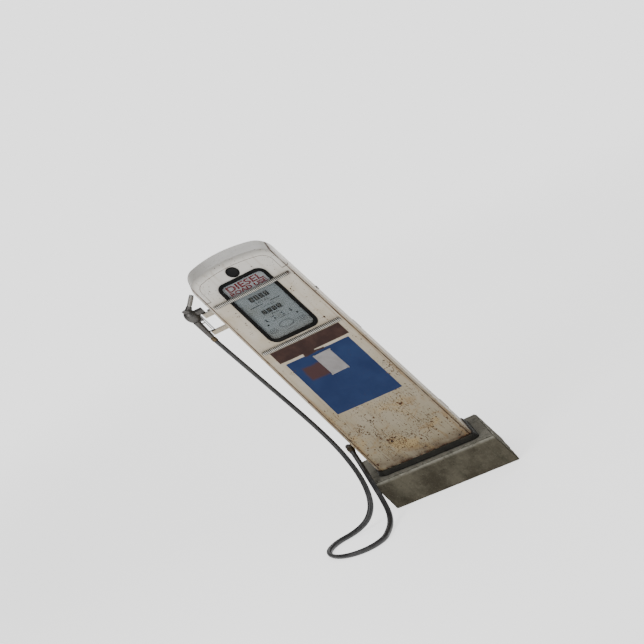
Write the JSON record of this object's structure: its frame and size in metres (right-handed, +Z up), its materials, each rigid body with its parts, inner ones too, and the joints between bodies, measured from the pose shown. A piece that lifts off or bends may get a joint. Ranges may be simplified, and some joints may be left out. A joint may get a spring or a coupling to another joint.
{
  "type": "fuel dispenser",
  "caption": "Free-standing kerbside fuel dispenser with a dial window, a side-hung nozzle and hose, a hinged rear door and its pump, meter and register inside.",
  "frame": {"origin": "centre of the concrete plinth's underside, on the ground", "axes": "+Z up, -Y towards the dial and the customer, -X towards the nozzle"},
  "size_m": [1.1214, 1.0099, 1.72],
  "materials": {
    "concrete": "rough weathered concrete",
    "base_paint": "worn dark paint",
    "frame_paint": "grey primer",
    "enamel": "aged cream gloss paint with rust chips",
    "steel": "plain, dulled",
    "black_rubber": "satin",
    "hose_rubber": "scuffed satin",
    "glass": "clear, dusty",
    "dark_glass": "dark gloss",
    "chrome": "pitted, rusty at its ends",
    "dial_enamel": "matt light blue-grey",
    "sign_enamel": "gloss",
    "number_wheels": "matt black with white figures",
    "cast_grey": "grey-green machine paint",
    "cast_iron": "bare, oily",
    "aluminium": "cast, dull",
    "copper": "tarnished",
    "brass": "tarnished",
    "nozzle_metal": "worn grey paint over metal"
  },
  "bodies": {
    "root": {"concrete_plinth": "concrete", "foot_tray": "base_paint", "anchor_bolts": "steel", "frame_posts": "frame_paint", "frame_rails": "frame_paint", "deck_plate": "frame_paint", "register_shelf": "frame_paint", "hood": "enamel", "side_panel_left": "enamel", "side_panel_right": "enamel", "front_cover": "enamel", "rear_panel": "enamel", "window_gasket": "black_rubber", "window_glass": "glass", "porthole_grommet": "black_rubber", "porthole_lens": "dark_glass", "trim_bar_upper": "chrome", "trim_bar_lower": "chrome", "dial_plate": "dial_enamel", "grade_plate": "sign_enamel", "register_cheeks": "steel", "register_shafts": "steel", "price_wheels": "number_wheels", "price_variator": "cast_grey", "dial_lamp": "dark_glass", "lamp_holder": "steel", "motor": "cast_grey", "pump_case": "cast_grey", "suction_pipe": "steel", "air_separator": "cast_grey", "fuel_pipes": "copper", "meter": "aluminium", "drive_belt": "black_rubber", "outlet_elbow": "cast_iron", "hose_coupling": "brass", "nozzle_bracket": "enamel", "cover_screws": "steel", "door_hinge_brackets": "steel", "hose": "hose_rubber"},
    "door": {"rear_door": "enamel", "door_hinge_leaves": "steel"},
    "door_lock": {"door_lock": "chrome"},
    "nozzle": {"nozzle_body": "nozzle_metal", "nozzle_spout": "aluminium", "hose_swivel": "brass"},
    "trigger": {"trigger_lever": "steel"},
    "valve": {"valve_stem": "brass"},
    "switch": {"switch_lever": "base_paint"},
    "reset": {"reset_knob": "steel"},
    "motor_rotor": {"motor_pulley": "cast_iron"},
    "pump_rotor": {"pump_rotor": "cast_iron"},
    "meter_drive": {"meter_shaft": "steel"},
    "money_wheel_1": {"money_wheel_1": "number_wheels"},
    "money_wheel_2": {"money_wheel_2": "number_wheels"},
    "money_wheel_3": {"money_wheel_3": "number_wheels"},
    "money_wheel_4": {"money_wheel_4": "number_wheels"},
    "litres_wheel_1": {"litres_wheel_1": "number_wheels"},
    "litres_wheel_2": {"litres_wheel_2": "number_wheels"},
    "litres_wheel_3": {"litres_wheel_3": "number_wheels"},
    "litres_wheel_4": {"litres_wheel_4": "number_wheels"}
  },
  "joints": [
    {"name": "door_swing", "type": "hinge", "parent": "root", "child": "door", "pos_m": [0.25, 0.186, 0.65], "axis": [0, 0, -1], "range_deg": [0, 110]},
    {"name": "door_lock_turn", "type": "hinge", "parent": "door", "child": "door_lock", "pos_m": [-0.215, 0.186, 0.65], "axis": [0, -1, 0], "range_deg": [0, 90]},
    {"name": "nozzle_lift", "type": "slide", "parent": "root", "child": "nozzle", "axis": [0, 0, 1], "range_m": [0, 0.12]},
    {"name": "trigger_squeeze", "type": "hinge", "parent": "nozzle", "child": "trigger", "pos_m": [-0.353, 0, 1.42], "axis": [0, 1, 0], "range_deg": [0, 10], "stiffness_Nm_per_rad": 1, "springref_deg": -5.73},
    {"name": "valve_travel", "type": "slide", "parent": "nozzle", "child": "valve", "axis": [-1, 0, 0], "range_m": [0, 0.005]},
    {"name": "switch_turn", "type": "hinge", "parent": "root", "child": "switch", "pos_m": [-0.275, 0.048, 1.375], "axis": [-1, 0, 0], "range_deg": [0, 60]},
    {"name": "reset_turn", "type": "hinge", "parent": "root", "child": "reset", "pos_m": [0.265, 0, 1.29], "axis": [1, 0, 0], "range_deg": [0, 90]},
    {"name": "motor_spin", "type": "hinge", "parent": "root", "child": "motor_rotor", "pos_m": [0.12, 0.066, 0.335], "axis": [1, 0, 0], "continuous": true},
    {"name": "pump_spin", "type": "hinge", "parent": "root", "child": "pump_rotor", "pos_m": [0.12, -0.066, 0.335], "axis": [1, 0, 0], "continuous": true},
    {"name": "meter_spin", "type": "hinge", "parent": "root", "child": "meter_drive", "pos_m": [0.095, 0, 0.9], "axis": [0, 0, 1], "continuous": true},
    {"name": "money_wheel_1_turn", "type": "hinge", "parent": "root", "child": "money_wheel_1", "pos_m": [0.045, -0.1355, 1.431], "axis": [1, 0, 0], "continuous": true},
    {"name": "money_wheel_2_turn", "type": "hinge", "parent": "root", "child": "money_wheel_2", "pos_m": [0.015, -0.1355, 1.431], "axis": [1, 0, 0], "continuous": true},
    {"name": "money_wheel_3_turn", "type": "hinge", "parent": "root", "child": "money_wheel_3", "pos_m": [-0.015, -0.1355, 1.431], "axis": [1, 0, 0], "continuous": true},
    {"name": "money_wheel_4_turn", "type": "hinge", "parent": "root", "child": "money_wheel_4", "pos_m": [-0.045, -0.1355, 1.431], "axis": [1, 0, 0], "continuous": true},
    {"name": "litres_wheel_1_turn", "type": "hinge", "parent": "root", "child": "litres_wheel_1", "pos_m": [0.045, -0.1355, 1.33], "axis": [1, 0, 0], "continuous": true},
    {"name": "litres_wheel_2_turn", "type": "hinge", "parent": "root", "child": "litres_wheel_2", "pos_m": [0.015, -0.1355, 1.33], "axis": [1, 0, 0], "continuous": true},
    {"name": "litres_wheel_3_turn", "type": "hinge", "parent": "root", "child": "litres_wheel_3", "pos_m": [-0.015, -0.1355, 1.33], "axis": [1, 0, 0], "continuous": true},
    {"name": "litres_wheel_4_turn", "type": "hinge", "parent": "root", "child": "litres_wheel_4", "pos_m": [-0.045, -0.1355, 1.33], "axis": [1, 0, 0], "continuous": true}
  ],
  "couplings": [
    {"joint": "pump_spin", "follows": "motor_spin", "ratio": 0.57143},
    {"joint": "valve_travel", "follows": "trigger_squeeze", "m_per_rad": 0.026},
    {"joint": "money_wheel_1_turn", "follows": "meter_spin", "ratio": 0.75},
    {"joint": "money_wheel_2_turn", "follows": "meter_spin", "ratio": 0.075},
    {"joint": "money_wheel_3_turn", "follows": "meter_spin", "ratio": 0.0075},
    {"joint": "money_wheel_4_turn", "follows": "meter_spin", "ratio": 0.00075},
    {"joint": "litres_wheel_1_turn", "follows": "meter_spin", "ratio": 1},
    {"joint": "litres_wheel_2_turn", "follows": "meter_spin", "ratio": 0.1},
    {"joint": "litres_wheel_3_turn", "follows": "meter_spin", "ratio": 0.01},
    {"joint": "litres_wheel_4_turn", "follows": "meter_spin", "ratio": 0.001}
  ]
}
